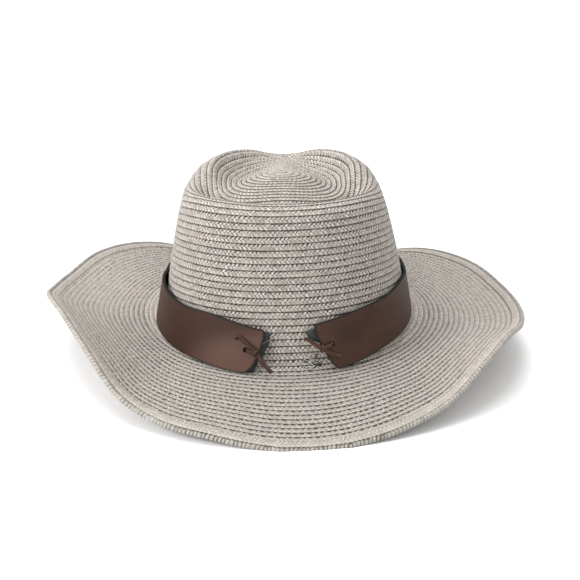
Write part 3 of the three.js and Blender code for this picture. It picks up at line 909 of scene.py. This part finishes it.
def ribbon(path, facing, width, thick, twist=0.0, sides=12):
    # a soft flat lace along a path, its broad side towards facing, turned by twist degrees to its end
    count = len(path)
    ways = np.gradient(path, axis=0)
    ways /= np.linalg.norm(ways, axis=1, keepdims=True)
    across = np.cross(ways, facing)
    across /= np.linalg.norm(across, axis=1, keepdims=True)
    outer = np.cross(across, ways)
    turn = np.radians(twist) * np.linspace(0, 1, count)[:, None]
    c, s = np.cos(turn), np.sin(turn)
    across, outer = across * c + outer * s, outer * c - across * s
    corners = 2 * np.pi * (np.arange(sides) + 0.5) / sides
    flat = np.sign(np.cos(corners)) * abs(np.cos(corners)) ** 0.6
    deep = np.sign(np.sin(corners)) * abs(np.sin(corners)) ** 0.6
    rings = path[:, None] + across[:, None] * flat[None, :, None] * width / 2 \
        + outer[:, None] * deep[None, :, None] * thick / 2
    faces = [[j * sides + i, j * sides + (i + 1) % sides, (j + 1) * sides + (i + 1) % sides,
              (j + 1) * sides + i] for j in range(count - 1) for i in range(sides)]
    faces.append(list(range(sides))[::-1])
    faces.append([(count - 1) * sides + i for i in range(sides)])
    return rings.reshape(-1, 3), faces


def joinShapes(shapes):
    points, faces, start = [], [], 0
    for shapePoints, shapeFaces in shapes:
        points.append(shapePoints)
        faces.extend([[corner + start for corner in face] for face in shapeFaces])
        start += len(shapePoints)
    return np.concatenate(points), faces


def outwardAt(angle):
    return np.array([math.sin(math.radians(angle)), -math.cos(math.radians(angle)), 0.1])


def thong(side):
    paths = lacePaths[side]
    shapes = []
    for name, places in paths.items():
        points = [strapPoint(angle, share, strap["thick"] + lift) for angle, share, lift in places]
        facing = outwardAt(places[-1][0])
        twist = 0 if name == "loop" else lace["tailTwist"]
        width = lace["width"] * (lace["loopShare"] if name == "loop" else 1)
        shapes.append(ribbon(smoothPath(points, 24), facing, width, lace["thick"], twist))
    knotAngle, knotShare, knotLift = paths["loop"][-1]
    centre = strapPoint(knotAngle, knotShare, strap["thick"] + knotLift)
    holeAt = strapPoint(paths["loop"][1][0], paths["loop"][1][1], strap["thick"])
    along = centre - holeAt
    along /= np.linalg.norm(along)
    outward = outwardAt(knotAngle)
    outward -= along * (outward @ along)
    outward /= np.linalg.norm(outward)
    across = np.cross(along, outward)
    turns = np.radians(np.linspace(0, lace["knotTurn"], 36))[:, None]
    wrap = centre + (across * np.cos(turns) + outward * np.sin(turns) * 0.75) * lace["knotReach"] \
        + along * (turns / 7 - 0.5) * lace["knotRun"]
    shapes.append(ribbon(wrap, along + 0.001, lace["knotWidth"], lace["knotThick"]))
    points, faces = joinShapes(shapes)
    return meshPiece("thong_" + side, points, faces, [thongLeather])


for side in lacePaths:
    place(thong(side), "thong", "band_tie_" + side)
print("thongs tied")

# what shows beside the strap's ends: a thin dark sheet past them, clear thread and frayed stitching
ends = {
    # by side: degrees and share across of the dark sheet's edge, and how far it runs under the strap
    "endSheet": {
        "left": [[-15.4, -0.11], [-12.5, -0.03], [-10.5, 0.18], [-8.6, 0.36], [-7.8, 0.48], [-6.4, 0.64],
                 [-5.8, 0.78], [-6.1, 0.91], [-8.6, 0.95]],
        "right": [[13.3, 0.56], [10.8, 0.63], [8.5, 0.72], [8.2, 0.80], [8.6, 0.88], [13.0, 0.92]],
    },
    "endSheetRun": 4.0,
    "endSheetDepth": -0.0014,
    "endSheetThick": 0.0005,
    "clearThread": [
        [[-10.6, 0.46], [-9.2, 0.62], [-7.3, 0.72], [-5.6, 0.77]],
        [[-11.9, -0.06], [-10.7, 0.07], [-10.2, 0.21], [-10.2, 0.37]],
    ],
    "stitchRegion": [6.4, 12.6, 41.4, 43.5],     # degrees and rows
    "stitches": 26,
    "stitchLength": 0.0042,
    "stitchLift": 0.0004,
    "stitchArch": 0.0009,      # most that a loose stitch bows out
    "darkStitches": 0.62,      # share of them
    "threadWidth": 0.00042,
}


def plainMaterial(name, tone, roughness=0.85):
    material, shader, field = newMaterial(name, {"Roughness": roughness, "Specular IOR Level": 0.3})
    shade = field.noise(field.onObject(), 900.0, 2.0).step(0.3, 0.7)
    darker = tuple(channel * 0.6 for channel in tone)
    finishMaterial(shader, field, {"Base Color": shade.mix(darker, tone)})
    return material


def endSheet(side):
    # a thin dark sheet between the strap and the crown that shows past the strap's end as a dark wedge
    outline = np.array(ends["endSheet"][side])
    way = -1 if side == "left" else 1
    rows = []
    for depth in (ends["endSheetDepth"] + ends["endSheetThick"], ends["endSheetDepth"]):
        for along in (0.0, 0.35, 0.7, 1.0):
            run = ends["endSheetRun"] + np.ptp(outline[:, 0])
            angle = outline[:, 0] + way * run * along * 0.9
            share = outline[:, 1] + (np.clip(outline[:, 1], 0.04, 0.96) - outline[:, 1]) * along
            rows.append(strapPoint(angle, share, depth))
    order = [0, 1, 2, 3, 7, 6, 5, 4]
    points = np.stack(rows, 1)[:, order]
    count = len(order)
    faces = []
    for j in range(len(outline) - 1):
        for i in range(count):
            k = (i + 1) % count
            faces.append([j * count + i, (j + 1) * count + i, (j + 1) * count + k, j * count + k])
    last = (len(outline) - 1) * count
    for i in range(3):
        faces.append([i, i + 1, count - 2 - i, count - 1 - i])
        faces.append([last + count - 1 - i, last + count - 2 - i, last + i + 1, last + i])
    return points.reshape(-1, 3), faces


def thread(path, width):
    return ribbon(path, np.array([0.1, -1.0, 0.35]), width, width, sides=6)


def strapEndDetails():
    darkEndSheet = plainMaterial("darkEndSheet", (0.034, 0.037, 0.034))
    clearThread = plainMaterial("clearThread", (0.22, 0.22, 0.20), 0.4)
    darkThread = plainMaterial("darkThread", (0.030, 0.024, 0.020))
    paleThread = plainMaterial("paleThread", (0.60, 0.58, 0.54))
    shapes, looks = [], []
    for side in ends["endSheet"]:
        shapes.append(endSheet(side))
        looks.extend([0] * len(shapes[-1][1]))
    for places in ends["clearThread"]:
        path = [strapPoint(angle, share, -0.0002) for angle, share in places]
        shapes.append(thread(smoothPath(path, 14), ends["threadWidth"]))
        looks.extend([1] * len(shapes[-1][1]))
    random = np.random.default_rng(7)
    low, high, top, bottom = ends["stitchRegion"]
    for _ in range(ends["stitches"]):
        angle, row = random.uniform(low, high), random.uniform(top, bottom)
        turn, length = random.uniform(0, math.pi), ends["stitchLength"] * random.uniform(0.5, 1.2)
        across = math.cos(turn) * length / hat["crownHalfLength"] * 180 / math.pi / 2
        down = math.sin(turn) * length / hat["rowPitch"] / 2
        path = []
        for along in (-1, 0, 1):
            spot = (angle + across * along, row + down * along)
            lift = ends["stitchLift"] + ends["stitchArch"] * (1 - along * along) * random.uniform(0.3, 1)
            path.append(hatPoint(*spot) + hatNormal(*spot) * lift)
        shapes.append(thread(smoothPath(path, 6), ends["threadWidth"] * random.uniform(0.8, 1.3)))
        looks.extend([2 if random.uniform() < ends["darkStitches"] else 3] * len(shapes[-1][1]))
    points, faces = joinShapes(shapes)
    return meshPiece("strapEndDetails", points, faces, [darkEndSheet, clearThread, darkThread, paleThread],
                     None, looks)


place(strapEndDetails(), "thong", "band_tie_right")
print("strap ends finished")

# floor, light and camera
stage = {
    "floor": (0.86, 0.86, 0.86),
    "floorHalf": 3.0,
    "world": 1.12,
    # lights: place, size across and power
    "key": [(-0.15, 0.1, 1.3), 1.1, 15.0],
    "fill": [(-1.2, -0.7, 0.7), 0.7, 19.0],
    "aim": (0, 0, 0.05),
}


def paleFloor():
    material = newMaterial("paleFloor", {"Roughness": 0.9, "Base Color": (*stage["floor"], 1)})[0]
    half = stage["floorHalf"]
    points = np.array([[-half, -half, 0], [half, -half, 0], [half, half, 0], [-half, half, 0]])
    floor = meshPiece("floor", points, [[0, 1, 2, 3]], [material])


def softLight(name):
    location, size, power = stage[name]
    data = bpy.data.lights.new(name, "AREA")
    data.shape, data.size, data.energy = "DISK", size, power
    light = bpy.data.objects.new(name, data)
    light.location = location
    light.rotation_euler = (Vector(stage["aim"]) - light.location).to_track_quat("-Z", "Y").to_euler()
    bpy.context.scene.collection.objects.link(light)


def studio():
    world = bpy.data.worlds.new("studio")
    world.use_nodes = True
    background = world.node_tree.nodes["Background"]
    background.inputs["Color"].default_value = (1, 1, 1, 1)
    background.inputs["Strength"].default_value = stage["world"]
    bpy.context.scene.world = world
    softLight("key")
    softLight("fill")
    bpy.context.scene.view_settings.view_transform = "Standard"


# the photograph's view: from 20 degrees above, a metre away
view = {
    "distance": 1.0,
    "elevation": 20.0,
    "target": (0, 0, 0.05),
    "focalPixels": 1420.0,     # of a frame 580 pixels wide
    "centrePixels": (286.5, 275.86),
    "frame": 580.0,
    "sensor": 36.0,
}


def camera():
    data = bpy.data.cameras.new("camera")
    data.sensor_width = view["sensor"]
    data.lens = view["focalPixels"] / view["frame"] * data.sensor_width
    middle = view["frame"] / 2
    data.shift_x = (middle - view["centrePixels"][0]) / view["frame"]
    data.shift_y = (view["centrePixels"][1] - middle) / view["frame"]
    data.clip_start = 0.05
    eye = bpy.data.objects.new("camera", data)
    elevation = math.radians(view["elevation"])
    back = Vector((0, -math.cos(elevation), math.sin(elevation)))
    eye.location = Vector(view["target"]) + back * view["distance"]
    eye.rotation_euler = (-back).to_track_quat("-Z", "Y").to_euler()
    bpy.context.scene.collection.objects.link(eye)
    bpy.context.scene.camera = eye


paleFloor()
studio()
camera()
print("stage set")
